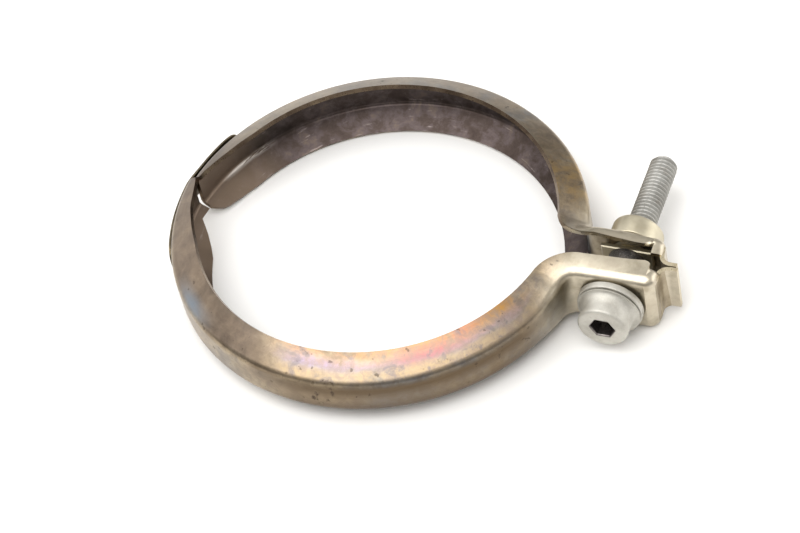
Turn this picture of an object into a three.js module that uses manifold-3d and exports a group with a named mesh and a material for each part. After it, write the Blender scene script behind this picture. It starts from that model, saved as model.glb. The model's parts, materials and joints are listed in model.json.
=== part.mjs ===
// A V-band clamp: two channel-section half rings joined at the back by a spring strap,
// and drawn together at the front by a bolt that passes through the two ears.
// Millimetres. While it is being built, the near half ring is centred on x = y = 0, the ears
// point along +X and the bolt runs along +Y. The finished group is then moved so that the
// middle of its footprint is on the origin and it stands on z = 0.

import * as THREE from "three";
import Module from "manifold-3d";

const manifold = await Module();
manifold.setup();

// ---------------------------------------------------------------- driving dimensions

const BAND = {
  outerRadius: 60, // outside of the crown, the flat outer wall of the channel
  width: 20, // across both flank edges
  sheet: 1.25, // steel thickness
  cornerHalf: 5.45, // half height of the crown, measured to its sharp corners
  cornerRadius: 2.6, // outside bend radius between crown and flank
  flankDepth: 7.9, // how far the flanks reach inwards from the crown
};
const MID = BAND.width / 2;
const FLANK_SLOPE = (MID - BAND.cornerHalf) / BAND.flankDepth;

// The far half ring is stored swung slightly shut, so its centre is off the near one's.
const FAR_CENTRE = new THREE.Vector2(0.8, -5.8);

const NEAR = {
  hingeAngle: -181.7, // the near half runs anticlockwise from here
  rootAngle: -14.2, // to here, where it turns out into its ear
  rootRadius: 4, // bend radius on the outside of that turn
  faceY: -11.6, // outer face of the ear's flat plate
  cornerX: 80.4, // where the plate starts its end corner
  cornerRadius: 3.1,
  wallTurn: 90, // how far that corner turns
  wallLength: 2.5,
  tabEnd: 87.7,
  // [degrees past the hinge end, depth of the flank]
  topCutBack: [[0, 2.5], [3, 3.8], [8, 4.8], [12, 5.2], [18, 6.4], [24, 7.3], [29, BAND.flankDepth]],
  bottomCutBack: [
    [0, 3.4],
    [2, 3.2],
    [4.4, 2.9],
    [8, 5.3],
    [13, 7.3],
    [18, 8.5],
    [30, 8.4],
    [45, BAND.flankDepth],
  ],
  // [x, how deep the flange reaches from the plate's face]
  flange: [[62, 7], [68, 7.2], [73, 7.4], [77.5, 7.8], [79, 8], [80, 7.7], [80.7, 7.1]],
};
const FAR = {
  hingeAngle: 171.9, // measured about its own centre
  rootRadius: 4,
  faceY: 6.6,
  cornerX: 79.2,
  cornerRadius: 3.2,
  wallTurn: 80,
  wallLength: 3.16,
  tabEnd: 87.1,
  flange: [[62, 3.4], [65, 3.7], [69, 4.1], [72, 4.3], [74.5, 4.3], [76.5, 4], [78, 3.6], [79.4, 3.15]],
};
const TAB = { half: 7.5, turnRadius: 2.2 };

const BOLT = {
  x: 71.2, // the bolt's axis, level with the middle of the band
  headFace: -21.3,
  headBase: -14.65,
  headRadius: 7.1,
  headChamfer: 0.7,
  filletFront: -18.6, // where the head starts to flare out to its flange
  flangeRadius: 8.8,
  flangeFront: -15.15,
  shankRadius: 3.95,
  tip: 39.9,
  tipChamfer: 1.1,
  socketWidth: 6, // across flats
  socketDepth: 4.4,
};
const SEAT = { ballRadius: 5.5, clearance: 0.3 };
const WASHER = { radius: 9.2, front: -14.35, back: -12.35, bore: 4.3, chamfer: 0.35 };
const NUT = {
  back: 7.35, // the swivel centre is in this plane
  end: 13.9,
  radius: 7.4,
  rounding: 0.9,
  bore: 4.25,
  plateFront: 2.8,
  plateBack: 4.4,
  plateWidth: 14.6,
  plateHeight: 9.8,
  neckRadius: 5,
  sleeveRadius: 5.4,
  sleeveFront: -3.2,
};
const STRAP = {
  thickness: 0.6,
  width: 7.6,
  endRadius: 3.3,
  // [angle, radius of the inner face], about the near centre and then about the far one
  nearSide: [[204.5, 60.3], [198, 60.25], [190, 60.25], [183, 60.25], [178, 60.3]],
  farSide: [[171.5, 61.55], [167, 61.4], [162, 61.6], [157, 61.85], [151.5, 61.9]],
};

const ARC_STEP = 2.2; // degrees between cross-sections round the ring
const FILLET_STEPS = 5;
const ROUND = 48; // facets on a turned part

// ---------------------------------------------------------------- small helpers

const radians = THREE.MathUtils.degToRad;
const unit = (degrees) => new THREE.Vector2(Math.cos(radians(degrees)), Math.sin(radians(degrees)));
const mix = THREE.MathUtils.lerp;
const smooth = THREE.MathUtils.smoothstep;

// A value that runs through the given [at, value] pairs in straight steps.
function ramp(at, pairs) {
  const next = pairs.findIndex((pair) => at < pair[0]);
  if (next === 0) return pairs[0][1];
  if (next < 0) return pairs[pairs.length - 1][1];
  const [fromAt, from] = pairs[next - 1];
  const [toAt, to] = pairs[next];
  return mix(from, to, (at - fromAt) / (toAt - fromAt));
}

function volumeOf(positions, indices) {
  let six = 0;
  const [a, b, c] = [new THREE.Vector3(), new THREE.Vector3(), new THREE.Vector3()];
  for (let i = 0; i < indices.length; i += 3) {
    a.fromArray(positions, indices[i] * 3);
    b.fromArray(positions, indices[i + 1] * 3);
    c.fromArray(positions, indices[i + 2] * 3);
    six += a.dot(b.cross(c));
  }
  return six / 6;
}

// A closed body through a row of outlines that all have the same number of points. Each
// outline is given twice: flat (for filling in the two ends) and in space.
function loft(outlines) {
  const count = outlines[0].flat.length;
  const positions = outlines.flatMap((outline) => outline.points.flatMap((p) => p.toArray()));
  const indices = [];
  for (let row = 0; row + 1 < outlines.length; row += 1) {
    for (let i = 0; i < count; i += 1) {
      const j = (i + 1) % count;
      const [a, b] = [row * count + i, row * count + j];
      indices.push(a, b, b + count, a, b + count, a + count);
    }
  }
  const last = (outlines.length - 1) * count;
  for (const [a, b, c] of THREE.ShapeUtils.triangulateShape(outlines[0].flat, [])) {
    indices.push(a, c, b);
  }
  for (const [a, b, c] of THREE.ShapeUtils.triangulateShape(outlines.at(-1).flat, [])) {
    indices.push(last + a, last + b, last + c);
  }
  if (volumeOf(positions, indices) < 0) indices.reverse();
  const geometry = new THREE.BufferGeometry();
  geometry.setAttribute("position", new THREE.Float32BufferAttribute(positions, 3));
  geometry.setIndex(indices);
  return geometry;
}

function toSolid(geometry) {
  const welded = weld(geometry);
  const mesh = new manifold.Mesh({
    numProp: 3,
    vertProperties: new Float32Array(welded.attributes.position.array),
    triVerts: new Uint32Array(welded.index.array),
  });
  mesh.merge();
  return new manifold.Manifold(mesh);
}

function fromSolid(solid) {
  const mesh = solid.getMesh();
  const geometry = new THREE.BufferGeometry();
  geometry.setAttribute("position", new THREE.BufferAttribute(mesh.vertProperties, mesh.numProp));
  geometry.setIndex(new THREE.BufferAttribute(mesh.triVerts, 1));
  return geometry;
}

// Joins corners that are in the same place, so that the surface is closed.
function weld(geometry) {
  const source = geometry.attributes.position;
  const order = geometry.index ? Array.from(geometry.index.array) : [...Array(source.count).keys()];
  const seen = new Map();
  const positions = [];
  const renumber = order.map((vertex) => {
    const point = [source.getX(vertex), source.getY(vertex), source.getZ(vertex)];
    const key = point.map((value) => Math.round(value * 1e4)).join(",");
    if (!seen.has(key)) {
      seen.set(key, positions.length / 3);
      positions.push(...point);
    }
    return seen.get(key);
  });
  const indices = [];
  for (let i = 0; i < renumber.length; i += 3) {
    const [a, b, c] = renumber.slice(i, i + 3);
    if (a !== b && b !== c && c !== a) indices.push(a, b, c);
  }
  const closed = new THREE.BufferGeometry();
  closed.setAttribute("position", new THREE.Float32BufferAttribute(positions, 3));
  closed.setIndex(indices);
  return closed;
}

function subtract(geometry, ...tools) {
  const cut = tools.reduce((left, tool) => left.subtract(toSolid(tool)), toSolid(geometry));
  return fromSolid(cut);
}

function join(...geometries) {
  return fromSolid(geometries.map(toSolid).reduce((left, right) => left.add(right)));
}

// A turned part on the bolt's axis, from [radius, y] pairs that start and end on the axis or
// close on themselves.
function turned(profile, facets = ROUND) {
  const geometry = new THREE.LatheGeometry(
    profile.map(([radius, along]) => new THREE.Vector2(radius, along)),
    facets,
  );
  return geometry.translate(BOLT.x, 0, MID);
}

// ---------------------------------------------------------------- the pressed channel

// One cross-section of the channel. n is how far a point is inside the crown's outer face and
// z is its height above the middle of the band. top and bottom each give the corner's height,
// the flank's slope and how deep the flank reaches.
function channelSection({ top, bottom, radius = BAND.cornerRadius }) {
  const side = (flank, sign, bend) => {
    const tilt = Math.atan(flank.slope);
    const turn = Math.PI / 2 - tilt;
    const centreZ = flank.corner - radius * Math.tan(turn / 2);
    const inset = radius - bend;
    const points = [];
    for (let step = 0; step <= FILLET_STEPS; step += 1) {
      const angle = (turn * step) / FILLET_STEPS;
      points.push([radius - bend * Math.cos(angle), centreZ + bend * Math.sin(angle)]);
    }
    points.push([
      flank.depth + inset * Math.sin(tilt),
      flank.corner + flank.slope * flank.depth - inset * Math.cos(tilt),
    ]);
    return points.map(([n, z]) => new THREE.Vector2(n, sign * z));
  };
  const inner = radius - BAND.sheet;
  return [
    ...side(top, 1, radius).reverse(),
    ...side(bottom, -1, radius),
    ...side(bottom, -1, inner).reverse(),
    ...side(top, 1, inner),
  ];
}

// Places a cross-section on the outer face's path: at is a point of the path in plan, and out
// points away from the inside of the channel.
function place(section, at, out) {
  return {
    flat: section,
    points: section.map((p) => new THREE.Vector3(at.x - out.x * p.x, at.y - out.y * p.x, MID + p.y)),
  };
}

const flank = (corner, rim, depth) => ({ corner, slope: (rim - corner) / depth, depth });
const ringFlank = (depth) => ({ corner: BAND.cornerHalf, slope: FLANK_SLOPE, depth });

// A flat strip of sheet standing on edge: the wall at the end of an ear and the tab beyond it.
// outside is the path of its outer face, and inward is the side the steel lies on.
function standingStrip(outside, inward, bottom, top) {
  const inside = outside.map((point, i) => {
    const before = outside[Math.max(i - 1, 0)];
    const after = outside[Math.min(i + 1, outside.length - 1)];
    const along = after.clone().sub(before).normalize();
    return new THREE.Vector2(-along.y, along.x).multiplyScalar(inward * BAND.sheet).add(point);
  });
  const shape = new THREE.Shape([...outside, ...inside.reverse()]);
  const geometry = new THREE.ExtrudeGeometry(shape, { depth: top - bottom, bevelEnabled: false });
  return geometry.translate(0, 0, bottom);
}

// Points round a bend, starting at one direction from its centre and ending at another.
function bend(centre, radius, fromAngle, toAngle, steps = 6) {
  return Array.from({ length: steps + 1 }, (_, i) =>
    unit(mix(fromAngle, toAngle, i / steps)).multiplyScalar(radius).add(centre),
  );
}

// How deep the wall's flanks reach, to close against the end of the plate's flanks.
const wallDepth = (ear, past) =>
  ear.cornerRadius - 0.15 + past * Math.tan(radians(90 - ear.wallTurn));

// The end of an ear: its corner, its wall and the flat tab the two ears meet on. side is -1
// for the near ear and +1 for the far ear. flankAt gives the flanks at a distance past the
// start of the corner.
function earEnd(ear, side, flankAt) {
  const corner = new THREE.Vector2(ear.cornerX, ear.faceY - side * ear.cornerRadius);
  const outlines = [];
  const path = [];
  const put = (out, at, past) => {
    outlines.push(place(channelSection(flankAt(past)), at, out));
    path.push(at);
  };
  put(unit(side * 90), new THREE.Vector2(ear.cornerX - 0.4, ear.faceY), 0);
  const steps = 8;
  for (let i = 0; i <= steps; i += 1) {
    const out = unit(side * (90 - (ear.wallTurn * i) / steps));
    put(out, out.clone().multiplyScalar(ear.cornerRadius).add(corner), 0);
  }
  const out = unit(side * (90 - ear.wallTurn));
  const heading = new THREE.Vector2(side * out.y, -side * out.x);
  const wallStart = path.at(-1);
  for (const part of [0.25, 0.5, 0.75, 1]) {
    const past = ear.wallLength * part;
    put(out, heading.clone().multiplyScalar(past).add(wallStart), past);
  }
  const turnCentre = out.clone().multiplyScalar(TAB.turnRadius).add(path.at(-1));
  const turn = bend(
    turnCentre,
    TAB.turnRadius,
    side * (90 - ear.wallTurn) + 180 * side,
    side * 270,
    5,
  );
  const tabEnd = new THREE.Vector2(ear.tabEnd, turn.at(-1).y);
  const strip = standingStrip([...path.slice(-5), ...turn.slice(1), tabEnd], -side,
    MID - TAB.half, MID + TAB.half);
  return { corner: loft(outlines), strip };
}

// ---------------------------------------------------------------- parts

function nearHalfShell() {
  const outlines = [];
  const add = (section, at, out) => outlines.push(place(channelSection(section), at, out));

  // Round the ring. The flanks are cut back towards the hinge, the top one further.
  const arc = NEAR.rootAngle - NEAR.hingeAngle;
  const steps = Math.round(arc / ARC_STEP);
  for (let i = 0; i < steps; i += 1) {
    const angle = mix(NEAR.hingeAngle, NEAR.rootAngle, i / steps);
    const past = angle - NEAR.hingeAngle;
    const flare = smooth(angle, -27, -6);
    const depthTop = ramp(past, NEAR.topCutBack);
    const depthBottom = ramp(past, NEAR.bottomCutBack);
    add(
      {
        top: flank(
          mix(BAND.cornerHalf, 9.4, flare),
          Math.min(mix(BAND.cornerHalf + FLANK_SLOPE * depthTop, MID, flare), MID),
          depthTop,
        ),
        bottom: flank(
          mix(BAND.cornerHalf, 7.2, flare),
          Math.min(mix(BAND.cornerHalf + FLANK_SLOPE * depthBottom, MID, flare), MID),
          depthBottom,
        ),
      },
      unit(angle).multiplyScalar(BAND.outerRadius),
      unit(angle),
    );
  }

  // The turn out into the ear.
  const centre = unit(NEAR.rootAngle).multiplyScalar(BAND.outerRadius + NEAR.rootRadius);
  const turns = 9;
  for (let i = 0; i <= turns; i += 1) {
    const part = i / turns;
    const angle = mix(NEAR.rootAngle, -90, part);
    const flare = smooth(mix(NEAR.rootAngle, 4, part), -27, -2);
    const depth = mix(BAND.flankDepth, NEAR.flange[0][1], part);
    add(
      {
        top: flank(mix(BAND.cornerHalf, 9.6, flare), MID, depth),
        bottom: flank(mix(BAND.cornerHalf, 8, flare), MID, depth),
      },
      centre.clone().sub(unit(angle).multiplyScalar(NEAR.rootRadius)),
      unit(angle),
    );
  }

  // The flat plate of the ear.
  const out = unit(-90);
  for (const [x, depth] of NEAR.flange.slice(1)) {
    const along = smooth(x, centre.x, 71);
    add(
      {
        top: flank(mix(9.6, MID, along), MID, depth),
        bottom: flank(mix(8, MID, along), MID, depth),
      },
      new THREE.Vector2(x, NEAR.faceY),
      out,
    );
  }
  const end = earEnd(NEAR, -1, (past) => {
    const part = past / NEAR.wallLength;
    const side = flank(mix(MID, 8.6, part), mix(MID, 9.9, part), wallDepth(NEAR, past));
    return { top: side, bottom: side };
  });
  return subtract(join(loft(outlines), end.corner, end.strip), seatTool(WASHER.back));
}

function farHalfShell() {
  const outlines = [];
  const add = (section, at, out) =>
    outlines.push(place(channelSection(section), at.clone().add(FAR_CENTRE), out));

  const faceRadius = FAR.faceY - FAR_CENTRE.y;
  const rootAngle = THREE.MathUtils.radToDeg(
    Math.asin((faceRadius + FAR.rootRadius) / (BAND.outerRadius + FAR.rootRadius)),
  );
  const steps = Math.round((FAR.hingeAngle - rootAngle) / ARC_STEP);
  for (let i = 0; i < steps; i += 1) {
    const angle = mix(FAR.hingeAngle, rootAngle, i / steps);
    const past = FAR.hingeAngle - angle;
    const depthTop = ramp(past, [[0, 2], [2.4, 2.6], [4.4, 3.4], [10, 5.6], [20, BAND.flankDepth]]);
    const depthBottom = ramp(past, [[0, 2.8], [1, 4.3], [3, 6], [9, 7.2], [16, BAND.flankDepth]]);
    add(
      { top: ringFlank(depthTop), bottom: ringFlank(depthBottom) },
      unit(angle).multiplyScalar(BAND.outerRadius),
      unit(angle),
    );
  }

  const centre = unit(rootAngle).multiplyScalar(BAND.outerRadius + FAR.rootRadius);
  const turns = 9;
  for (let i = 0; i <= turns; i += 1) {
    const part = i / turns;
    const angle = mix(rootAngle, 90, part);
    const depth = ramp(part, [[0, BAND.flankDepth], [0.3, 7], [0.6, 5], [0.85, 3.7], [1, 3.4]]);
    const side = flank(mix(BAND.cornerHalf, 9.2, smooth(part, 0.1, 1)), MID, depth);
    add(
      { top: side, bottom: side },
      centre.clone().sub(unit(angle).multiplyScalar(FAR.rootRadius)),
      unit(angle),
    );
  }

  const out = unit(90);
  for (const [x, depth] of FAR.flange.slice(1)) {
    const curl = smooth(x, 71, 79.5);
    const side = flank(mix(9.4, 8.3, curl), mix(MID, 9, curl), depth);
    add({ top: side, bottom: side }, new THREE.Vector2(x - FAR_CENTRE.x, faceRadius), out);
  }
  const end = earEnd(FAR, 1, (past) => {
    const part = past / FAR.wallLength;
    const side = flank(mix(8.3, 7.9, part), mix(9, 8.7, part), wallDepth(FAR, past));
    return { top: side, bottom: side };
  });
  return subtract(join(loft(outlines), end.corner, end.strip), seatTool(NUT.back));
}

// The hollow that a ball-shaped boss swivels in, centred on the bolt's axis.
function seatTool(y) {
  const ball = new THREE.SphereGeometry(SEAT.ballRadius + SEAT.clearance, ROUND, 24);
  return ball.rotateZ(Math.PI / 2).translate(BOLT.x, y, MID);
}

// The spring leaf that joins the two halves across the gap at the back. It is tight to the
// crowns by the gap and stands off them towards its rounded ends.
function hingeStrap() {
  const inner = new THREE.CatmullRomCurve3(
    [
      ...STRAP.nearSide.map(([angle, radius]) => unit(angle).multiplyScalar(radius)),
      ...STRAP.farSide.map(([angle, radius]) => unit(angle).multiplyScalar(radius).add(FAR_CENTRE)),
    ].map((point) => new THREE.Vector3(point.x, point.y, MID)),
  );
  const length = inner.getLength();
  const steps = 44;
  const along = Array.from({ length: steps + 1 }, (_, i) => (1 - Math.cos((Math.PI * i) / steps)) / 2);
  const outlines = along.map((part) => {
    const at = inner.getPointAt(part);
    const heading = inner.getTangentAt(part);
    const out = new THREE.Vector3(-heading.y, heading.x, 0);
    if (out.dot(new THREE.Vector3(at.x, at.y, 0)) < 0) out.negate();
    const fromEnd = Math.min(part, 1 - part) * length;
    const inset = Math.max(STRAP.endRadius - fromEnd, 0);
    const round = STRAP.endRadius - Math.sqrt(Math.max(STRAP.endRadius ** 2 - inset ** 2, 0));
    const half = STRAP.width / 2 - round;
    const flat = [[0, -half], [STRAP.thickness, -half], [STRAP.thickness, half], [0, half]];
    return {
      flat: flat.map(([n, z]) => new THREE.Vector2(n, z)),
      points: flat.map(([n, z]) => at.clone().addScaledVector(out, n).add(new THREE.Vector3(0, 0, z))),
    };
  });
  return loft(outlines);
}

function clampBolt() {
  const { headFace, headBase, headRadius, headChamfer, shankRadius, tip, tipChamfer } = BOLT;
  const { filletFront, flangeRadius, flangeFront } = BOLT;
  const fillet = Array.from({ length: 7 }, (_, i) => {
    const angle = (Math.PI / 2) * (i / 6);
    return [
      headRadius + (flangeRadius - headRadius) * (1 - Math.cos(angle)),
      filletFront + (flangeFront - filletFront) * Math.sin(angle),
    ];
  });
  const body = turned([
    [0, headFace],
    [headRadius - headChamfer, headFace],
    [headRadius - headChamfer * 0.3, headFace + headChamfer * 0.3],
    [headRadius, headFace + headChamfer],
    ...fillet,
    [flangeRadius, headBase],
    [shankRadius, headBase],
    [shankRadius, tip - tipChamfer],
    [shankRadius - tipChamfer, tip],
    [0, tip],
  ]);
  const socket = new THREE.CylinderGeometry(
    BOLT.socketWidth / Math.sqrt(3),
    BOLT.socketWidth / Math.sqrt(3),
    BOLT.socketDepth * 2,
    6,
  )
    .rotateY(Math.PI / 6)
    .translate(BOLT.x, headFace, MID);
  return subtract(body, socket);
}

function ballProfile(centreY, direction, fromRadius, toRadius, steps = 8) {
  const start = Math.asin(fromRadius / SEAT.ballRadius);
  const end = Math.asin(toRadius / SEAT.ballRadius);
  return Array.from({ length: steps + 1 }, (_, i) => {
    const angle = mix(start, end, i / steps);
    return [
      SEAT.ballRadius * Math.sin(angle),
      centreY + direction * SEAT.ballRadius * Math.cos(angle),
    ];
  });
}

// A washer with a ball-shaped boss on its back, so that it can tilt in the near ear.
function boltWasher() {
  const { radius, front, back, bore, chamfer } = WASHER;
  const boss = ballProfile(back, 1, 4.9, SEAT.ballRadius);
  return turned([
    [bore, front],
    [radius - chamfer, front],
    [radius, front + chamfer],
    [radius, back - chamfer],
    [radius - chamfer, back],
    ...boss.reverse(),
    [bore, boss.at(-1)[1]],
    [bore, front],
  ]);
}

// The nut: a round collar outside the far ear, a ball-shaped boss in the ear's hole, an oblong
// plate inside the ear that keeps it from turning and from falling out, and a short sleeve
// round the bolt.
function swivelNut() {
  const { back, end, radius, rounding, bore, neckRadius } = NUT;
  const boss = ballProfile(back, -1, neckRadius, SEAT.ballRadius);
  const rim = bend(new THREE.Vector2(radius - rounding, end - rounding), rounding, 0, 90, 4);
  const collar = turned([
    [bore, NUT.sleeveFront],
    [NUT.sleeveRadius - 0.3, NUT.sleeveFront],
    [NUT.sleeveRadius, NUT.sleeveFront + 0.3],
    [NUT.sleeveRadius, NUT.plateFront + 0.5],
    [neckRadius, NUT.plateFront + 0.5],
    ...boss,
    [radius, back],
    ...rim.map((point) => [point.x, point.y]),
    [bore, end],
    [bore, NUT.sleeveFront],
  ]);
  const plate = new THREE.BoxGeometry(
    NUT.plateWidth,
    NUT.plateBack - NUT.plateFront,
    NUT.plateHeight,
  ).translate(BOLT.x, (NUT.plateFront + NUT.plateBack) / 2, MID);
  const through = new THREE.CylinderGeometry(bore, bore, 20, ROUND).translate(BOLT.x, 10, MID);
  return subtract(join(collar, plate), through);
}

// ---------------------------------------------------------------- assembly

const MATERIALS = {
  heatTintedSteel: { color: 0x8c7a6a, metalness: 1, roughness: 0.4 },
  springSteel: { color: 0x4a4436, metalness: 1, roughness: 0.45 },
  zincFlake: { color: 0xb4b4ae, metalness: 1, roughness: 0.6 },
  satinSteel: { color: 0xb3aa92, metalness: 1, roughness: 0.35 },
};

const PARTS = [
  ["near_half_shell", nearHalfShell, MATERIALS.heatTintedSteel],
  ["far_half_shell", farHalfShell, MATERIALS.heatTintedSteel],
  ["hinge_strap", hingeStrap, MATERIALS.springSteel],
  ["clamp_bolt", clampBolt, MATERIALS.zincFlake],
  ["bolt_washer", boltWasher, MATERIALS.zincFlake],
  ["swivel_nut", swivelNut, MATERIALS.satinSteel],
];

function assemble() {
  const group = new THREE.Group();
  group.name = "v_band_clamp";
  for (const [name, build, material] of PARTS) {
    const mesh = new THREE.Mesh(weld(build()), new THREE.MeshStandardMaterial(material));
    mesh.name = name;
    group.add(mesh);
  }
  const box = new THREE.Box3().setFromObject(group);
  const middle = box.getCenter(new THREE.Vector3());
  for (const mesh of group.children) {
    mesh.geometry.translate(-middle.x, -middle.y, -box.min.z);
  }
  return group;
}

export default assemble();
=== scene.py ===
# The looks of a V-band clamp: two heat-tinted steel half rings, a spring strap across the gap
# between them, and a socket screw that pulls their ears together through a washer and a nut.
# Lengths are in metres in the row frame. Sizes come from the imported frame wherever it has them.

import json
import math
from collections import namedtuple

import bmesh
import bpy
import numpy as np
from mathutils import Matrix, Vector
from mathutils.bvhtree import BVHTree


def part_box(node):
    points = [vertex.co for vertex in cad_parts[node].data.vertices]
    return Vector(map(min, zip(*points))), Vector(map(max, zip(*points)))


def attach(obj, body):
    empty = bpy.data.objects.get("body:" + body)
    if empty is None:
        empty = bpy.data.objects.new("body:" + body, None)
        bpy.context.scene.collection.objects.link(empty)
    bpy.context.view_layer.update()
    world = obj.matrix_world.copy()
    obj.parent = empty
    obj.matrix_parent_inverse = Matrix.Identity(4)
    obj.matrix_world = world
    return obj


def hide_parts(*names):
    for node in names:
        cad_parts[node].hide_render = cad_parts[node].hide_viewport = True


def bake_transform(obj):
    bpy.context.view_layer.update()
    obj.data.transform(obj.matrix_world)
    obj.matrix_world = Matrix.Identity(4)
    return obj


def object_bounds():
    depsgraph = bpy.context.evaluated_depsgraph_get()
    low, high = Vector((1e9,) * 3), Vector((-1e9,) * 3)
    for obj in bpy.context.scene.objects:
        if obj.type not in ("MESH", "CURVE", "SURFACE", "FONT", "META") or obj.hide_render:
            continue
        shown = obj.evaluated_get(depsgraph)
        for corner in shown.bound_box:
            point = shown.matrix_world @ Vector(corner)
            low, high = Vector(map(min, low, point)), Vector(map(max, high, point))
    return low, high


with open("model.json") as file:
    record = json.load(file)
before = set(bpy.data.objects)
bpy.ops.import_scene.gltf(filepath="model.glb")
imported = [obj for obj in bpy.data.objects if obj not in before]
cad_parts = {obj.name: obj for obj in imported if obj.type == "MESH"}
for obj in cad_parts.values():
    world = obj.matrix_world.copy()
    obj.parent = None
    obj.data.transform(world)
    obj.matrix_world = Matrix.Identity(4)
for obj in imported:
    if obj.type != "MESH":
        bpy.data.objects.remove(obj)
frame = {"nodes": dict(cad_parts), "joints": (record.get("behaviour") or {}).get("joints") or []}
cad_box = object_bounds()

MM = 0.001

# ---------------------------------------------------------------- driving values

CAMERA = {
    "azimuth": 30.2,
    "elevation": 48.76,
    "roll": -13.84,
    "distance": 0.7807,
    "lens": 124.2,
    "sensor": 36,
    "clip_end": 10,
    "target": (-0.008265, -0.001753, 0.0),
}

SHEET = 1.25 * MM  # thickness of the pressed steel
CHANNEL_DEPTH = 7.9 * MM  # how far the flanks reach in from the crown
SHEARED_EDGE_ROUND = 0.22 * MM
TAB_LENGTH = 3.0 * MM  # the flat end of each ear
SHARP_ANGLE = 38  # degrees: the shells' edges that are sharper than this are rounded

STRAP = {
    "edge_round": 0.12 * MM,
    "bend_reach": 4.5 * MM,  # half the length that bends, along y
    "bend_lean": 0.5 * MM,  # how much further in x the bend's far end is
}
THREAD = {
    "pitch": 1.25 * MM,
    "major": 3.95 * MM,
    "minor": 3.2 * MM,
    "start": 13.0 * MM,  # plain shank between the head and the first thread
    "crest": 0.125,  # the thread's flats, as shares of its pitch
    "root": 0.2,
    "tip_step": 0.45 * MM,  # how much slimmer the end is than the thread's root
    "tip_slope": 0.9,  # radius lost for each length along the end's chamfer
    "rows_per_turn": 14,
}
HEAD = {
    "length": 6.65 * MM,
    "radius": 7.1 * MM,
    "chamfer": 0.8 * MM,
    "flare_start": 2.7 * MM,  # behind the face, where the head widens to its flange
    "flare_steps": 10,
    "flange_edge": 0.5 * MM,
    "neck_flare": 0.6 * MM,  # the fillet under the head
    "neck_length": 0.4 * MM,
    "corner": 0.15 * MM,  # the small bevel where two surfaces meet
    "socket_across_flats": 6.0 * MM,
    "socket_depth": 4.4 * MM,
    "socket_chamfer": 0.35 * MM,
    "drill_cone": 0.5 * MM,  # how far the socket's floor dips in the middle
}
WASHER = {
    "ball": 5.5 * MM,
    "bore_gap": 0.4 * MM,  # all round the thread
    "bore_chamfer": 0.15 * MM,
    "soft": 0.3 * MM,  # radius of the rounded rims
}
NUT = {
    "radius": 7.4 * MM,
    "rounding": 0.9 * MM,
    "ball": 5.5 * MM,
    "neck": 5.0 * MM,
    "plate_width": 14.6 * MM,
    "plate_height": 9.8 * MM,
    "plate_front": 4.55 * MM,  # these two are ahead of the plane it swivels in
    "plate_back": 2.95 * MM,
    "sleeve": 5.4 * MM,
    "bore_gap": 0.35 * MM,
    "bore_chamfer": 0.2 * MM,
    "soft": 0.3 * MM,
}
ROUND = 96  # facets on a turned piece
WELD = 0.002 * MM  # corners of the CAD mesh that are closer than this are one corner

FLOOR_HALF = 2.5  # half the side of the square floor
SKY = ((0.02, 0.2), (0.6, 0.8))  # brightness at two heights, horizon to overhead
SKY_TINT = (1.0, 0.985, 0.96)
LAMPS = {  # each one's place, the point it faces, its size and its power in watts
    "overhead": ((-0.12, -0.18, 0.72), (0, 0, 0), (1.0, 0.9), 7.2),
    "left_panel": ((-0.75, 0.1, 0.22), (0, 0, 0.01), (0.8, 0.42), 1.5),
    "right_panel": ((0.7, 0.4, 0.24), (0, 0, 0.01), (0.8, 0.45), 2.2),
}


# ---------------------------------------------------------------- node helpers


def srgb(red, green, blue):
    """A colour written as 0-255 values, as the linear colour a shader socket takes."""
    linear = [
        v / 12.92 if v <= 0.04045 else ((v + 0.055) / 1.055) ** 2.4
        for v in (red / 255, green / 255, blue / 255)
    ]
    return (*linear, 1.0)


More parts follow.
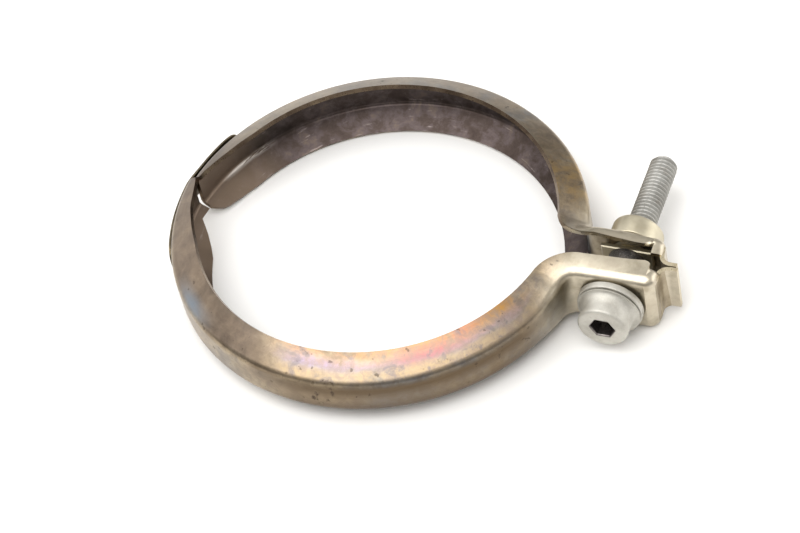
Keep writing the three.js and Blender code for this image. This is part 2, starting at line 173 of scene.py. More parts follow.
class Surface:
    """A material under construction, with short ways to add the nodes it is made of."""

    def __init__(self, name, metallic=1.0):
        self.material = bpy.data.materials.new(name)
        self.material.use_nodes = True
        self.tree = self.material.node_tree
        self.shader = self.tree.nodes["Principled BSDF"]
        self.shader.inputs["Metallic"].default_value = metallic
        self.place = self.node("ShaderNodeTexCoord").outputs["Object"]

    def node(self, kind, inputs=None, **settings):
        """A new node, with its inputs set or wired and its settings made."""
        made = self.tree.nodes.new(kind)
        for key, value in settings.items():
            setattr(made, key, value)
        for key, value in (inputs or {}).items():
            self.feed(made.inputs[key], value)
        return made

    def feed(self, socket, value):
        """Wires the value in if it is another node's output, or sets it if it is plain."""
        if isinstance(value, bpy.types.NodeSocket):
            self.tree.links.new(value, socket)
        else:
            socket.default_value = value

    def axis(self, index):
        """One coordinate of the shaded point: 0, 1 or 2 for x, y or z."""
        return self.node("ShaderNodeSeparateXYZ", {0: self.place}).outputs[index]

    def math(self, operation, *values, clamp=False):
        """One sum on the values. clamp keeps the result between 0 and 1."""
        made = self.node("ShaderNodeMath", operation=operation, use_clamp=clamp)
        for socket, value in zip(made.inputs, values):
            self.feed(socket, value)
        return made.outputs[0]

    def noise(self, scale, detail=4.0, rough=0.55, at=None, distortion=0.0):
        """Cloudy values about 0.5. scale is the number of clouds in a metre."""
        made = self.node(
            "ShaderNodeTexNoise",
            {
                "Vector": at or self.place,
                "Scale": scale,
                "Detail": detail,
                "Roughness": rough,
                "Distortion": distortion,
            },
        )
        return made.outputs["Fac"]

    def rise(self, value, low, high):
        """0 below low, 1 above high, smooth between. If low is the larger, it falls instead."""
        made = self.node(
            "ShaderNodeMapRange",
            {"Value": value, "From Min": low, "From Max": high},
            interpolation_type="SMOOTHSTEP",
        )
        return made.outputs["Result"]

    def band(self, value, low, high, soft):
        """1 between low and high, falling to 0 over a distance of soft on each side."""
        up = self.rise(value, low - soft, low + soft)
        down = self.rise(value, high + soft, high - soft)
        return self.math("MULTIPLY", up, down)

    def ramp(self, value, stops):
        """A colour that runs through the stops, each a (position, colour), as value rises."""
        made = self.node("ShaderNodeValToRGB", {"Fac": value})
        elements = made.color_ramp.elements
        while len(elements) < len(stops):
            elements.new(0.5)
        for element, (at, colour) in zip(elements, stops):
            element.position = at
            element.color = colour
        return made.outputs["Color"]

    def mix(self, share, first, second, blend="MIX"):
        """first where share is 0, second where it is 1. The node has a set of sockets for
        each data type, and the colours' are numbers 6 and 7."""
        made = self.node("ShaderNodeMix", data_type="RGBA", blend_type=blend)
        self.feed(made.inputs[0], share)
        self.feed(made.inputs[6], first)
        self.feed(made.inputs[7], second)
        return made.outputs[2]

    def times(self, *values):
        """All the values multiplied together."""
        product = values[0]
        for value in values[1:]:
            product = self.math("MULTIPLY", product, value)
        return product

    def finish(self, colour, roughness, height, bump=0.25, distance=0.05 * MM):
        """Wires the colour, the roughness and a height map into the shader."""
        self.feed(self.shader.inputs["Base Color"], colour)
        self.feed(self.shader.inputs["Roughness"], roughness)
        made = self.node(
            "ShaderNodeBump", {"Height": height, "Strength": bump, "Distance": distance}
        )
        self.feed(self.shader.inputs["Normal"], made.outputs["Normal"])
        return self.material


# ---------------------------------------------------------------- the ring's shape


def circle_of(node, quadrant):
    """Centre and radius, in plan, of the ring that a half shell's outer face follows. They
    come from how far the shell reaches in three directions where it is part of that ring.
    quadrant is -1 or +1: the side in y that the half is on."""
    points = np.array([v.co for v in frame["nodes"][node].data.vertices], float)[:, :2]
    diagonal = math.sqrt(0.5)
    directions = np.array([(-1, 0), (0, quadrant), (-diagonal, quadrant * diagonal)])
    reach = (points @ directions.T).max(0)
    equations = np.column_stack([directions, np.ones(3)])
    x, y, radius = np.linalg.solve(equations, reach)
    return Vector((x, y)), radius


NEAR_CENTRE, RING_RADIUS = circle_of("near_half_shell", -1)
FAR_CENTRE, FAR_RADIUS = circle_of("far_half_shell", 1)
MIDDLE = (cad_box[0].z + cad_box[1].z) / 2
BOLT_LOW, BOLT_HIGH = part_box("clamp_bolt")
AXIS_X = (BOLT_LOW.x + BOLT_HIGH.x) / 2
GRAIN_STRETCH = 0.08  # the grain is squeezed by this along the ring, so it looks drawn out

Ring = namedtuple("Ring", "radius angle height grain")


def joint_place(name):
    """A joint's centre."""
    return next(joint["pos_m"] for joint in frame["joints"] if joint["name"] == name)


def ring_place(surface):
    """Sockets with the distance from the ring's axis, the angle round it in degrees, the
    height, and a vector for grain that runs round the ring."""
    shifted = surface.node(
        "ShaderNodeVectorMath", {0: surface.place, 1: (*NEAR_CENTRE, 0)}, operation="SUBTRACT"
    )
    parts = surface.node("ShaderNodeSeparateXYZ", {0: shifted.outputs[0]}).outputs
    squares = surface.math(
        "ADD", surface.math("POWER", parts[0], 2.0), surface.math("POWER", parts[1], 2.0)
    )
    radius = surface.math("SQRT", squares)
    turn = surface.math("ARCTAN2", parts[1], parts[0])
    angle = surface.math("MULTIPLY", turn, 180 / math.pi)
    length = surface.math("MULTIPLY", turn, RING_RADIUS * GRAIN_STRETCH)
    grain = surface.node("ShaderNodeCombineXYZ", {0: length, 1: radius, 2: parts[2]})
    return Ring(radius, angle, parts[2], grain.outputs[0])


# ---------------------------------------------------------------- materials
# Angles round the ring are in degrees from +x, where the ears are: negative on the near half.
# Heights are given from the ring's middle, and radii from its outer face.


def oxide_colour(s, ring, clouds, upper):
    """Grey-brown oxide, bluish in patches and duller on the upper flank near the hinge."""
    oxide = s.ramp(
        clouds,
        [
            (0.3, srgb(120, 106, 88)),
            (0.42, srgb(148, 133, 112)),
            (0.52, srgb(168, 153, 129)),
            (0.6, srgb(144, 134, 122)),
            (0.7, srgb(162, 149, 127)),
        ],
    )
    wide = s.noise(18, 3, 0.5)
    blue_patch = s.times(s.rise(wide, 0.5, 0.62), s.rise(clouds, 0.4, 0.6), 0.6)
    oxide = s.mix(blue_patch, oxide, srgb(120, 127, 134))

    hinge_end = s.math(
        "MAXIMUM", s.rise(ring.angle, -98, -112), s.rise(ring.angle, 150, 168)
    )
    dull = s.math("MAXIMUM", hinge_end, s.times(s.rise(ring.angle, 40, 80), 0.3))
    dull_tone = s.ramp(
        s.noise(150, 6, 0.7, distortion=0.4),
        [(0.34, srgb(84, 74, 68)), (0.5, srgb(108, 96, 86)), (0.66, srgb(126, 112, 98))],
    )
    oxide = s.mix(s.times(dull, upper, 0.85), oxide, dull_tone)
    mottle = s.rise(s.noise(320, 6, 0.75, distortion=0.6), 0.38, 0.6)
    oxide = s.mix(s.times(mottle, 0.45), oxide, srgb(108, 96, 84))

    blue_height = s.band(ring.height, MIDDLE + 5.2 * MM, MIDDLE + 7.2 * MM, 1.2 * MM)
    blue_mark = s.times(s.band(ring.angle, -140, -128, 7), blue_height, clouds, 1.2)
    return s.mix(blue_mark, oxide, srgb(122, 140, 156))


def temper_colour(s, ring, patches):
    """Heat colours on the upper flank, straw at the rim and greyer towards the crown, with
    tinted stretches, blotches and grey soot."""
    from_rim = s.rise(ring.radius, RING_RADIUS - 8.0 * MM, RING_RADIUS - 1.6 * MM)
    wander = s.math("MULTIPLY_ADD", s.noise(90, 4, 0.65, distortion=0.6), 1.1, -0.55)
    temper = s.ramp(
        s.math("ADD", from_rim, wander, clamp=True),
        [
            (0.0, srgb(184, 146, 106)),
            (0.25, srgb(184, 158, 130)),
            (0.42, srgb(178, 152, 136)),
            (0.56, srgb(168, 148, 146)),
            (0.7, srgb(160, 148, 142)),
            (0.84, srgb(172, 156, 132)),
            (1.0, srgb(176, 156, 126)),
        ],
    )
    mid_flank = s.band(ring.radius, RING_RADIUS - 6.6 * MM, RING_RADIUS - 3.6 * MM, 1.4 * MM)
    by_the_rim = s.rise(ring.radius, RING_RADIUS - 4.6 * MM, RING_RADIUS - 7.0 * MM)
    for first, last, soft, where, strength, tint in (
        (-64, -46, 9, mid_flank, 0.85, srgb(172, 110, 114)),  # rose
        (-104, -76, 12, mid_flank, 0.7, srgb(150, 140, 164)),  # violet
        (-36, -24, 8, by_the_rim, 1.1, srgb(186, 142, 78)),  # straw
        (-52, -40, 8, by_the_rim, 0.9, srgb(184, 128, 102)),  # copper
    ):
        stretch = s.band(ring.angle, first, last, soft)
        share = s.times(stretch, where, s.rise(patches, 0.3, 0.62), strength)
        temper = s.mix(s.math("MINIMUM", share, 0.85), temper, tint)
    blotches = s.rise(s.noise(300, 7, 0.8, distortion=1.1), 0.4, 0.6)
    temper = s.mix(s.times(blotches, 0.6), temper, srgb(146, 130, 120))
    grey_soot = s.times(s.rise(s.noise(150, 5, 0.6, distortion=0.8), 0.56, 0.64), 0.6)
    return s.mix(grey_soot, temper, srgb(124, 118, 120))


def heat_tinted_outside():
    """The outer faces: oxidised grey-brown, with temper colours on the upper flank of the
    near half, soot specks, fine grain round the ring, and cleaner steel on the ears."""
    s = Surface("heat_tinted_outside")
    ring = ring_place(s)
    clouds = s.noise(55, 5, 0.6)
    patches = s.noise(120, 5, 0.65, distortion=0.5)
    fine = s.noise(900, 3, 0.6)
    streaks = s.noise(1500, 3, 0.7, at=ring.grain)

    upper = s.rise(ring.height, MIDDLE + 5.0 * MM, MIDDLE + 6.4 * MM)
    near_run = s.band(ring.angle, -99, -24, 7)
    tempered = s.times(upper, near_run, s.rise(patches, 0.3, 0.5))
    colour = s.mix(
        tempered, oxide_colour(s, ring, clouds, upper), temper_colour(s, ring, patches)
    )

    # On the near half's crown: a painted dark reflection in a band below the bend, a browner
    # middle, and painted shade darkening its lowest part by the floor.
    painted_bend_reflection = s.band(ring.height, MIDDLE + 0.8 * MM, MIDDLE + 4.4 * MM, 2.2 * MM)
    painted_bend_reflection = s.times(painted_bend_reflection, near_run, s.rise(clouds, 0.28, 0.5), 0.95)
    colour = s.mix(painted_bend_reflection, colour, srgb(56, 43, 31))
    crown = s.rise(ring.height, MIDDLE + 5.0 * MM, MIDDLE + 3.0 * MM)
    colour = s.mix(s.times(crown, near_run, 0.6), colour, srgb(118, 101, 79))
    # Painted shade: the crown darkens towards the floor.
    foot_painted_shade = s.rise(ring.height, MIDDLE - 1.0 * MM, MIDDLE - 6.0 * MM)
    colour = s.mix(s.times(foot_painted_shade, near_run, 0.5), colour, srgb(84, 72, 62))

    # Straw marks at the far ear's root.
    straw = s.times(s.band(ring.angle, 14, 34, 8), s.rise(patches, 0.42, 0.6), 0.6)
    colour = s.mix(straw, colour, srgb(186, 156, 104))

    # The ears were cooler: clean, faintly golden steel.
    clean = s.ramp(
        s.noise(160, 4, 0.6),
        [(0.3, srgb(176, 167, 148)), (0.5, srgb(202, 194, 176)), (0.7, srgb(188, 178, 160))],
    )
    ear = s.rise(s.axis(0), AXIS_X - 20 * MM, AXIS_X - 9 * MM)
    colour = s.mix(ear, colour, clean)

    # Soot specks and burnt patches, fewer of them on the ears.
    specks = s.times(s.rise(s.noise(420, 2, 0.5), 0.68, 0.73), 0.55)
    burnt = s.times(s.rise(s.noise(150, 5, 0.7, distortion=0.6), 0.63, 0.72), near_run)
    dirt = s.times(s.math("MAXIMUM", specks, burnt), s.rise(ear, 1.0, 0.2))
    colour = s.mix(s.times(dirt, 0.8), colour, srgb(66, 56, 50))
    colour = s.mix(s.times(streaks, 0.35), colour, srgb(120, 106, 94), "SOFT_LIGHT")

    roughness = s.math(
        "ADD",
        s.math("MULTIPLY_ADD", clouds, 0.22, 0.19),
        s.math("MULTIPLY_ADD", dirt, 0.22, s.times(streaks, 0.08)),
    )
    grit = s.math("ADD", s.times(fine, 0.6), s.times(streaks, 0.5))
    relief = s.math("ADD", grit, s.times(dirt, -0.5))
    return s.finish(colour, roughness, relief, bump=0.22, distance=0.04 * MM)


def soot_and_shade_inside():
    """The groove's own faces: dark brown scale with light scuffs, near black with painted shade
    in the groove's hollow, and a painted highlight along the lower corner near the hinge."""
    s = Surface("soot_and_shade_inside")
    ring = ring_place(s)
    clouds = s.noise(170, 6, 0.7, distortion=0.3)
    streaks = s.noise(1100, 3, 0.7, at=ring.grain)
    scale = s.ramp(
        clouds,
        [
            (0.3, srgb(54, 46, 43)),
            (0.45, srgb(66, 57, 53)),
            (0.56, srgb(80, 71, 70)),
            (0.7, srgb(98, 86, 77)),
        ],
    )
    hinge_end = s.math(
        "MAXIMUM", s.rise(ring.angle, 144, 168), s.rise(ring.angle, -146, -164)
    )
    scale = s.mix(s.times(hinge_end, 0.7), scale, srgb(142, 124, 107))

    # Painted shade: near black on the groove's inner crown wall, less of it near the hinge ends.
    groove_shade_tone = s.ramp(
        s.noise(45, 4, 0.6),
        [(0.38, srgb(16, 13, 13)), (0.5, srgb(29, 23, 22)), (0.62, srgb(20, 27, 29))],
    )
    away_from_hinge = s.math("SUBTRACT", 1.0, s.times(hinge_end, 0.75))
    deep_painted_shade = s.times(
        s.rise(ring.radius, RING_RADIUS - 6.4 * MM, RING_RADIUS - 3.0 * MM),
        s.rise(ring.height, MIDDLE - 8.5 * MM, MIDDLE - 3.5 * MM),
        away_from_hinge,
        0.96,
    )
    colour = s.mix(deep_painted_shade, scale, groove_shade_tone)

    scuffs = s.times(s.rise(streaks, 0.6, 0.7), s.rise(clouds, 0.45, 0.6), 0.45)
    colour = s.mix(scuffs, colour, srgb(160, 148, 142))
    # A painted highlight: a narrow bright streak along the concave lower corner near the hinge.
    rubbed = s.times(
        s.band(ring.angle, 150, 166, 4),
        s.band(ring.height, MIDDLE - 5.2 * MM, MIDDLE - 4.6 * MM, 0.45 * MM),
        s.rise(streaks, 0.36, 0.5),
    )
    colour = s.mix(rubbed, colour, srgb(216, 208, 200))

    clean = s.ramp(
        s.noise(160, 4, 0.6),
        [(0.35, srgb(138, 126, 106)), (0.55, srgb(172, 160, 138)), (0.75, srgb(150, 138, 118))],
    )
    ear = s.rise(s.axis(0), AXIS_X - 13 * MM, AXIS_X - 10.5 * MM)
    colour = s.mix(ear, colour, clean)
    roughness = s.math("MULTIPLY_ADD", clouds, 0.25, s.times(streaks, 0.15))
    roughness = s.math("ADD", roughness, 0.16)
    relief = s.math("ADD", s.times(clouds, 0.5), streaks)
    return s.finish(colour, roughness, relief, bump=0.3, distance=0.05 * MM)


def sheared_edge():
    """The cut edges of the sheet: fine shear marks, browned round the ring and bright on
    the ears."""
    s = Surface("sheared_edge")
    clouds = s.noise(140, 4, 0.6)
    marks = s.noise(2600, 2, 0.6)
    browned = s.ramp(
        clouds,
        [(0.3, srgb(92, 77, 64)), (0.5, srgb(122, 105, 88)), (0.7, srgb(150, 132, 110))],
    )
    bright = s.ramp(
        clouds,
        [(0.3, srgb(170, 156, 128)), (0.5, srgb(204, 192, 164)), (0.7, srgb(222, 212, 190))],
    )
    ear = s.rise(s.axis(0), AXIS_X - 20 * MM, AXIS_X - 11 * MM)
    colour = s.mix(ear, browned, bright)
    roughness = s.math("MULTIPLY_ADD", marks, 0.2, 0.2)
    return s.finish(colour, roughness, marks, bump=0.35, distance=0.04 * MM)


def spring_steel():
    """The strap: thin brown-olive scale over dull steel."""
    s = Surface("spring_steel")
    clouds = s.noise(110, 5, 0.6)
    fine = s.noise(1200, 3, 0.6)
    colour = s.ramp(
        clouds,
        [(0.3, srgb(74, 66, 53)), (0.5, srgb(108, 98, 81)), (0.7, srgb(130, 118, 98))],
    )
    pits = s.rise(s.noise(500, 2, 0.5), 0.64, 0.7)
    colour = s.mix(s.times(pits, 0.5), colour, srgb(60, 52, 42))
    roughness = s.math("MULTIPLY_ADD", clouds, 0.25, 0.22)
    return s.finish(colour, roughness, fine, bump=0.3, distance=0.03 * MM)


def zinc_flake(name, light, dark, roughness_base):
    """A dull sprayed metallic coating: fine flake grain, with rubbed patches."""
    s = Surface(name)
    clouds = s.noise(170, 4, 0.55)
    flakes = s.node("ShaderNodeTexVoronoi", {"Vector": s.place, "Scale": 3800.0})
    flakes = flakes.outputs["Distance"]
    grain = s.noise(2200, 3, 0.6)
    colour = s.mix(s.rise(clouds, 0.3, 0.7), dark, light)
    rubbed = s.times(s.rise(s.noise(320, 3, 0.6), 0.58, 0.72), 0.5)
    colour = s.mix(rubbed, colour, srgb(168, 160, 150))
    colour = s.mix(s.times(flakes, 0.25), colour, srgb(214, 214, 212))
    roughness = s.math("MULTIPLY_ADD", grain, 0.2, roughness_base)
    relief = s.math("ADD", grain, s.times(flakes, 0.4))
    return s.finish(colour, roughness, relief, bump=0.25, distance=0.03 * MM)


def satin_steel():
    """The nut: clean stainless with a faint straw tint and turning marks."""
    s = Surface("satin_steel")
    clouds = s.noise(130, 4, 0.55)
    along = s.node("ShaderNodeCombineXYZ", {0: s.times(s.axis(1), 9000.0)})
    rings = s.noise(1.0, 2, 0.6, at=along.outputs[0])
    colour = s.ramp(
        clouds,
        [(0.3, srgb(176, 167, 145)), (0.5, srgb(196, 188, 166)), (0.7, srgb(204, 197, 178))],
    )
    roughness = s.math("MULTIPLY_ADD", rings, 0.15, 0.34)
    relief = s.math("ADD", rings, s.times(s.noise(1500, 2, 0.5), 0.5))
    return s.finish(colour, roughness, relief, bump=0.15, distance=0.02 * MM)


def pale_floor():
    """The white ground the clamp was photographed on, faintly warm and uneven."""
    s = Surface("pale_floor", metallic=0.0)
    clouds = s.noise(9, 3, 0.5)
    colour = s.mix(clouds, srgb(240, 239, 237), srgb(244, 243, 241))
    s.shader.inputs["Specular IOR Level"].default_value = 0.2
    return s.finish(colour, s.math("MULTIPLY_ADD", clouds, 0.1, 0.6), clouds, bump=0.02)


# ---------------------------------------------------------------- mesh helpers


def to_object(name, bm, *materials, sharp_angle=SHARP_ANGLE):
    """The finished mesh as an object, shaded smooth except across edges that are sharper
    than an angle in degrees."""
    mesh = bpy.data.meshes.new(name)
    bm.normal_update()
    bm.to_mesh(mesh)
    bm.free()
    for material in materials:
        mesh.materials.append(material)
    mesh.shade_smooth()
    mesh.set_sharp_from_angle(angle=math.radians(sharp_angle))
    obj = bpy.data.objects.new(name, mesh)
    bpy.context.scene.collection.objects.link(obj)
    return obj


def add_rings(bm, rings, closed=False):
    """Faces through rows of points that all have the same number of points."""
    rows = [[bm.verts.new(point) for point in ring] for ring in rings]
    pairs = list(zip(rows, rows[1:]))
    if closed:
        pairs.append((rows[-1], rows[0]))
    for first, second in pairs:
        count = len(first)
        for i in range(count):
            j = (i + 1) % count
            bm.faces.new((first[i], first[j], second[j], second[i]))
    return rows


def circle_row(radius, along):
    """A row of points round the bolt's axis. radius may be a function of the angle."""
    row = []
    for i in range(ROUND):
        turn = 2 * math.pi * i / ROUND
        reach = radius(turn) if callable(radius) else radius
        row.append((AXIS_X + reach * math.sin(turn), along, MIDDLE + reach * math.cos(turn)))
    return row


def turned(profile):
    """A ring-shaped solid turned about the bolt's axis, from a closed profile of (radius, y)."""
    bm = bmesh.new()
    add_rings(bm, [circle_row(radius, y) for radius, y in profile], closed=True)
    bmesh.ops.recalc_face_normals(bm, faces=bm.faces)
    return bm


def arc(centre, radius, start, end, steps):
    """Points (radius, y) on part of a circle in a turned profile, angles in degrees."""
    points = []
    for i in range(steps + 1):
        turn = math.radians(start + (end - start) * i / steps)
        points.append((centre[0] + radius * math.cos(turn), centre[1] + radius * math.sin(turn)))
    return points


def cad_mesh(node):
    """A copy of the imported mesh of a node, with its split corners joined."""
    bm = bmesh.new()
    bm.from_mesh(frame["nodes"][node].data)
    bmesh.ops.remove_doubles(bm, verts=bm.verts, dist=WELD)
    bm.normal_update()
    return bm


def merge_flat_faces(bm, flatter_than, **settings):
    """Joins neighbouring faces that meet at less than an angle in degrees."""
    bmesh.ops.dissolve_limit(
        bm, angle_limit=math.radians(flatter_than), verts=bm.verts, edges=bm.edges, **settings
    )


def round_edges(bm, sharper_than, width, **settings):
    """Rounds the edges whose faces meet at more than an angle in degrees."""
    sharp = [
        edge
        for edge in bm.edges
        if len(edge.link_faces) == 2 and edge.calc_face_angle() > math.radians(sharper_than)
    ]
    bmesh.ops.bevel(
        bm,
        geom=sharp,
        offset=width,
        segments=2,
        profile=0.5,
        affect="EDGES",
        clamp_overlap=True,
        **settings,
    )


# ---------------------------------------------------------------- the half shells

OUTSIDE, INSIDE, EDGE = range(3)  # places in SHELL_MATERIALS
EAR_STRIP = 4 * MM  # half the width of the part of an ear that is flat across the bolt
EAR_CORE = 0.8  # how deep the core line runs in the ear, as a share of the channel's depth
EAR_STEPS = 12
PROBE_START = 0.01 * MM  # under a face, where the search for the steel's far side starts
EDGE_DEPTH = 1.7  # sheets of steel behind a face, above which the face is a cut edge


def core_path(node, centre, radius, side):
    """Points in plan along the middle of the channel's open side: round the ring, then out
    along the ear."""
    reach = radius - CHANNEL_DEPTH
    corners = [v.co for v in frame["nodes"][node].data.vertices]
    ear_face = side * max(side * co.y for co in corners if abs(co.x - AXIS_X) < EAR_STRIP)
    line_y = ear_face - side * CHANNEL_DEPTH * EAR_CORE
    path = []
    for degrees in range(0, 186, 2):  # from the bolt's side to a little past the hinge
        turn = math.radians(degrees) * side
        x = centre.x + reach * math.cos(turn)
        y = centre.y + reach * math.sin(turn)
        if (y - line_y) * side > 0:
            path.append((x, y))
    start = path[0][0]
    end = cad_box[1].x
    for i in range(EAR_STEPS + 1):
        path.append((start + (end - start) * i / EAR_STEPS, line_y))
    return np.array(path)


def sort_faces(bm, path, side):
    """Gives each face its material. A face is a cut edge if the steel behind it is much
    deeper than the sheet is thick, and outside if it looks away from the channel's core."""
    tree = BVHTree.FromBMesh(bm)
    for face in bm.faces:
        middle = face.calc_center_median()
        depth = tree.ray_cast(middle - face.normal * PROBE_START, -face.normal)[3]
        if depth is None or depth > SHEET * EDGE_DEPTH:
            face.material_index = EDGE
            continue
        nearest = path[((path - np.array(middle[:2])) ** 2).sum(1).argmin()]
        away = Vector((middle.x - nearest[0], middle.y - nearest[1], middle.z - MIDDLE))
        if middle.x > cad_box[1].x - TAB_LENGTH:
            away = Vector((0, side, 0))
        face.material_index = OUTSIDE if face.normal.dot(away) > 0 else INSIDE


def refined_shell(name, node, centre, radius, side, materials):
    """The shell with its faces sorted into outside, inside and cut edge, and its sharp
    corners rounded as a press leaves them."""
    bm = cad_mesh(node)
    sort_faces(bm, core_path(node, centre, radius, side), side)
    merge_flat_faces(bm, 0.5, delimit={"MATERIAL"})
    round_edges(bm, SHARP_ANGLE, SHEARED_EDGE_ROUND, material=EDGE)
    bmesh.ops.remove_doubles(bm, verts=bm.verts, dist=2 * WELD)
    return to_object(name, bm, *materials)


# ---------------------------------------------------------------- the strap


def strap_piece(material):
    """The spring leaf: the CAD leaf with its edges rounded."""
    bm = cad_mesh("hinge_strap")
    merge_flat_faces(bm, 0.2)
    round_edges(bm, 60, STRAP["edge_round"])
    return to_object("strap_leaf", bm, material)


# ---------------------------------------------------------------- the bolt


SOCKET, THREADED = 1, 2  # places in the bolt's materials, after the coating


def hexagon(half_width, share=1.0):
    """A row's radius as a function of the angle: a hexagon, scaled by share."""
    step = math.pi / 3
    return lambda turn: half_width / math.cos(((turn + step / 2) % step) - step / 2) * share


def thread_radius(along, turn, first, last):
    """Distance of the thread's surface from the axis, at a place along it and an angle. The
    thread fades in over its first turn, and the last of it is chamfered."""
    crest, root = THREAD["crest"], THREAD["root"]
    slope = (1 - crest - root) / 2
    phase = (along / THREAD["pitch"] - turn / (2 * math.pi)) % 1.0
    if phase < crest:
        share = 1.0
    elif phase < crest + slope:
        share = 1 - (phase - crest) / slope
    elif phase < crest + slope + root:
        share = 0.0
    else:
        share = (phase - crest - slope - root) / slope
    run_in = min(max((along - first) / THREAD["pitch"], 0), 1)
    cut = THREAD["minor"] + (THREAD["major"] - THREAD["minor"]) * share
    surface = THREAD["major"] * (1 - run_in) + cut * run_in
    tip = THREAD["minor"] - THREAD["tip_step"]
    chamfer = tip + (last - along) * THREAD["tip_slope"]
    return min(surface, max(chamfer, tip))


def head_rows():
    """The bolt's rows from the middle of the socket's floor, out over the face and the side
    of the head, to the neck behind it. Pairs of rows close together keep a corner crisp."""
    face_y = BOLT_LOW.y
    base_y = face_y + HEAD["length"]
    half = HEAD["socket_across_flats"] / 2
    floor_y = face_y + HEAD["socket_depth"]
    lip = HEAD["socket_chamfer"]
    corner = HEAD["corner"]
    radius = HEAD["radius"]
    chamfer = HEAD["chamfer"]
    flange_radius = (BOLT_HIGH.x - BOLT_LOW.x) / 2
    rows = [
        circle_row(hexagon(half, 0.5), floor_y + HEAD["drill_cone"]),
        circle_row(hexagon(half, 0.97), floor_y + HEAD["drill_cone"] / 10),
        circle_row(hexagon(half), floor_y),
        circle_row(hexagon(half), floor_y - corner),
        circle_row(hexagon(half), face_y + lip + 0.1 * MM),
        circle_row(hexagon(half), face_y + lip),
        circle_row(hexagon(half + lip), face_y + 0.02 * MM),
        circle_row((half + lip) / math.cos(math.pi / 6) + 0.1 * MM, face_y),
        circle_row(radius - chamfer - corner, face_y),
    ]
    for reach, y in arc((radius - chamfer, face_y + chamfer), chamfer, -90, 0, 6):
        rows.append(circle_row(reach, y))
    flare_y = face_y + HEAD["flare_start"]
    flange_y = base_y - HEAD["flange_edge"]
    for i in range(HEAD["flare_steps"] + 1):
        turn = math.pi / 2 * i / HEAD["flare_steps"]
        reach = radius + (flange_radius - radius) * (1 - math.cos(turn))
        rows.append(circle_row(reach, flare_y + (flange_y - flare_y) * math.sin(turn)))
    rows += [
        circle_row(flange_radius, base_y - corner),
        circle_row(flange_radius - corner, base_y),
        circle_row(THREAD["major"] + HEAD["neck_flare"], base_y),
        circle_row(THREAD["major"], base_y + HEAD["neck_length"]),
    ]
    return rows


def bolt_piece(coating, socket_shaded_coating, thread_coating):
    """The screw: flanged head with a hexagon socket, plain neck and a real helical thread."""
    first = BOLT_LOW.y + HEAD["length"] + THREAD["start"]
    last = BOLT_HIGH.y
    rows = head_rows()
    rows.append(circle_row(THREAD["major"], first - 0.3 * MM))
    count = int((last - first) / THREAD["pitch"] * THREAD["rows_per_turn"])
    for i in range(count + 1):
        along = first + (last - first) * i / count
        rows.append(circle_row(lambda turn: thread_radius(along, turn, first, last), along))

    bm = bmesh.new()
    made = add_rings(bm, rows)
    bm.faces.new(list(reversed(made[-1])))
    bm.faces.new(made[0])
    bmesh.ops.recalc_face_normals(bm, faces=bm.faces)

    lip = HEAD["socket_chamfer"]
    mouth = (HEAD["socket_across_flats"] / 2 + lip) / math.cos(math.pi / 6)
    socket_start = BOLT_LOW.y + lip * 0.3
    socket_end = BOLT_LOW.y + HEAD["length"]
    for face in bm.faces:
        middle = face.calc_center_median()
        off_axis = math.hypot(middle.x - AXIS_X, middle.z - MIDDLE)
        if off_axis < mouth and socket_start < middle.y < socket_end:
            face.material_index = SOCKET
        elif middle.y > first:
            face.material_index = THREADED
    materials = (coating, socket_shaded_coating, thread_coating)
    return to_object("socket_screw", bm, *materials, sharp_angle=50)


# ---------------------------------------------------------------- the washer and the nut


def washer_piece(material):
    """A turned washer with rounded rims and the ball-shaped boss behind it."""
    low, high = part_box("bolt_washer")
    back = joint_place("washer_tilt")[1]
    radius = (high.x - low.x) / 2
    soft = WASHER["soft"]
    bore = THREAD["major"] + WASHER["bore_gap"]
    chamfer = WASHER["bore_chamfer"]
    ball = WASHER["ball"]
    profile = [(bore, low.y + chamfer), (bore + chamfer, low.y)]
    profile += arc((radius - soft, low.y + soft), soft, -90, 0, 5)
    profile += arc((radius - soft, back - soft), soft, 0, 90, 5)
    last_turn = math.degrees(math.asin((high.y - back) / ball))
    profile += arc((0, back), ball, 1, last_turn, 10)
    profile.append((bore, high.y))
    return to_object("tilting_washer", turned(profile), material)


def oblong(half_width, half_height):
    """A row's radius as a function of the angle: an oblong."""
    least = 1e-6  # keeps the division away from zero
    return lambda turn: min(
        half_width / max(abs(math.sin(turn)), least),
        half_height / max(abs(math.cos(turn)), least),
    )


def nut_piece(material, sleeve_material):
    """The nut, turned in one: sleeve, oblong plate, ball-shaped boss and round collar."""
    low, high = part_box("swivel_nut")
    pivot = joint_place("nut_swivel")[1]
    bore = THREAD["major"] + NUT["bore_gap"]
    chamfer = NUT["bore_chamfer"]
    soft = NUT["soft"]
    sleeve = NUT["sleeve"]
    front = pivot - NUT["plate_front"]
    back = pivot - NUT["plate_back"]
    half_width = NUT["plate_width"] / 2
    half_height = NUT["plate_height"] / 2
    plate = oblong(half_width, half_height)
    plate_end = oblong(half_width - soft, half_height - soft)
    profile = [
        (bore, low.y + chamfer),
        (bore + chamfer, low.y),
        (sleeve - soft, low.y),
        (sleeve, low.y + soft),
        (sleeve, front),
        (plate_end, front),
        (plate, front + soft),
        (plate, back - soft),
        (plate_end, back),
        (NUT["neck"], back),
    ]
    first_turn = -math.degrees(math.acos(NUT["neck"] / NUT["ball"]))
    profile += arc((0, pivot), NUT["ball"], first_turn, -1, 8)
    radius = NUT["radius"]
    rounding = NUT["rounding"]
    profile += arc((radius - soft, pivot + soft), soft, -90, 0, 4)
    profile += arc((radius - rounding, high.y - rounding), rounding, 0, 90, 8)
    profile += [(bore + soft, high.y), (bore, high.y - soft)]
    bm = turned(profile)
    for face in bm.faces:
        if face.calc_center_median().y < front - soft / 2:
            face.material_index = 1
    return to_object("trunnion_nut", bm, material, sleeve_material)


# ---------------------------------------------------------------- build

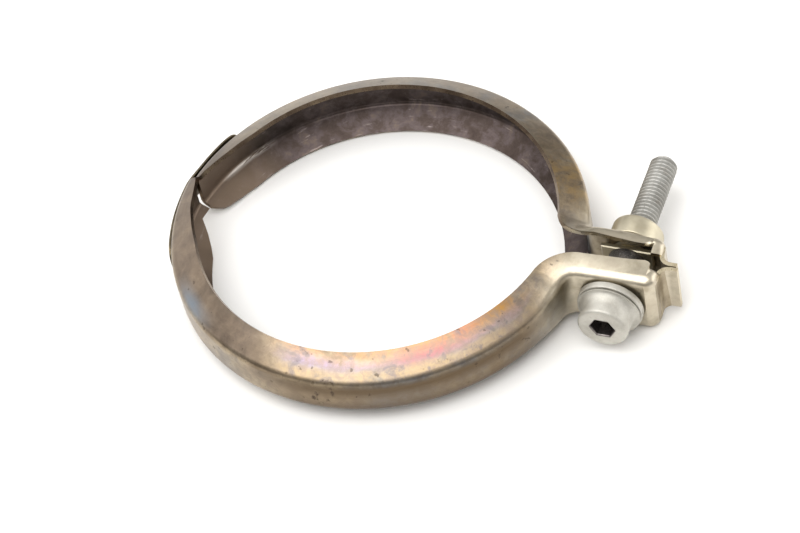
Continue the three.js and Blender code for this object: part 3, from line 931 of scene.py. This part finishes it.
OUTSIDE_STEEL = heat_tinted_outside()
INSIDE_STEEL = soot_and_shade_inside()
EDGE_STEEL = sheared_edge()
SHELL_MATERIALS = (OUTSIDE_STEEL, INSIDE_STEEL, EDGE_STEEL)
STRAP_STEEL = spring_steel()
COATING = zinc_flake("zinc_flake", srgb(200, 197, 188), srgb(172, 168, 158), 0.5)
THREAD_COATING = zinc_flake("thread_coating", srgb(188, 187, 183), srgb(158, 156, 151), 0.5)
# The socket's coating is painted darker than the head's: painted shade in the recess.
SOCKET_SHADED_COATING = zinc_flake("socket_shaded_coating", srgb(116, 106, 102), srgb(78, 68, 66), 0.3)
# The sleeve is coloured near black, matching the dark gap between the ears.
SLEEVE_STEEL = zinc_flake("sleeve_steel", srgb(74, 66, 62), srgb(44, 38, 36), 0.4)
NUT_STEEL = satin_steel()

near_shell = refined_shell(
    "near_shell", "near_half_shell", NEAR_CENTRE, RING_RADIUS, -1, SHELL_MATERIALS
)
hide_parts("near_half_shell")
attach(near_shell, "near_half")

far_shell = refined_shell(
    "far_shell", "far_half_shell", FAR_CENTRE, FAR_RADIUS, 1, SHELL_MATERIALS
)
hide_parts("far_half_shell")
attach(far_shell, "far_half")

strap = strap_piece(STRAP_STEEL)
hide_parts("hinge_strap")
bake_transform(strap)

bolt = bolt_piece(COATING, SOCKET_SHADED_COATING, THREAD_COATING)
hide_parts("clamp_bolt")
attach(bolt, "bolt")

washer = washer_piece(COATING)
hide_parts("bolt_washer")
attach(washer, "washer")

nut = nut_piece(NUT_STEEL, SLEEVE_STEEL)
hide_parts("swivel_nut")
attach(nut, "nut")

# ---------------------------------------------------------------- floor, light and camera


def floor_piece():
    """A flat square under the clamp, wide enough to fill the picture."""
    bm = bmesh.new()
    signs = ((-1, -1), (1, -1), (1, 1), (-1, 1))
    bm.faces.new([bm.verts.new((x * FLOOR_HALF, y * FLOOR_HALF, 0.0)) for x, y in signs])
    return to_object("floor", bm, pale_floor())


def softbox(name, place, aim, size, power):
    """A rectangular lamp at a place, turned to face another."""
    light = bpy.data.lights.new(name, "AREA")
    light.shape = "RECTANGLE"
    light.size, light.size_y = size
    light.energy = power
    lamp = bpy.data.objects.new(name, light)
    bpy.context.scene.collection.objects.link(lamp)
    lamp.location = place
    lamp.rotation_euler = (Vector(aim) - Vector(place)).to_track_quat("-Z", "Y").to_euler()


def light_sky():
    """A slightly warm sky that brightens from the horizon to overhead."""
    world = bpy.data.worlds.new("studio")
    world.use_nodes = True
    nodes = world.node_tree.nodes
    links = world.node_tree.links
    direction = nodes.new("ShaderNodeTexCoord").outputs["Generated"]
    parts = nodes.new("ShaderNodeSeparateXYZ")
    links.new(direction, parts.inputs[0])
    ramp = nodes.new("ShaderNodeValToRGB")
    links.new(parts.outputs[2], ramp.inputs["Fac"])
    for element, (at, grey) in zip(ramp.color_ramp.elements, SKY):
        element.position = at
        element.color = (*(grey * tint for tint in SKY_TINT), 1)
    links.new(ramp.outputs["Color"], nodes["Background"].inputs["Color"])
    bpy.context.scene.world = world


def place_camera():
    """The camera that took the photograph, aimed by angles about the object."""
    data = bpy.data.cameras.new("camera")
    data.lens = CAMERA["lens"]
    data.sensor_width = CAMERA["sensor"]
    data.clip_end = CAMERA["clip_end"]
    camera = bpy.data.objects.new("camera", data)
    bpy.context.scene.collection.objects.link(camera)
    bpy.context.scene.camera = camera

    azimuth, elevation, roll = (
        math.radians(CAMERA[name]) for name in ("azimuth", "elevation", "roll")
    )
    back = Vector(
        (
            math.sin(azimuth) * math.cos(elevation),
            -math.cos(azimuth) * math.cos(elevation),
            math.sin(elevation),
        )
    )
    level = Vector((math.cos(azimuth), math.sin(azimuth), 0))
    across = level * math.cos(roll) + back.cross(level) * math.sin(roll)
    facing = Matrix((across, back.cross(across), back)).transposed().to_4x4()
    place = Vector(CAMERA["target"]) + back * CAMERA["distance"]
    camera.matrix_world = Matrix.Translation(place) @ facing


floor_piece()
for lamp_name, lamp_settings in LAMPS.items():
    softbox(lamp_name, *lamp_settings)
light_sky()
place_camera()
bpy.context.scene.view_settings.view_transform = "Standard"
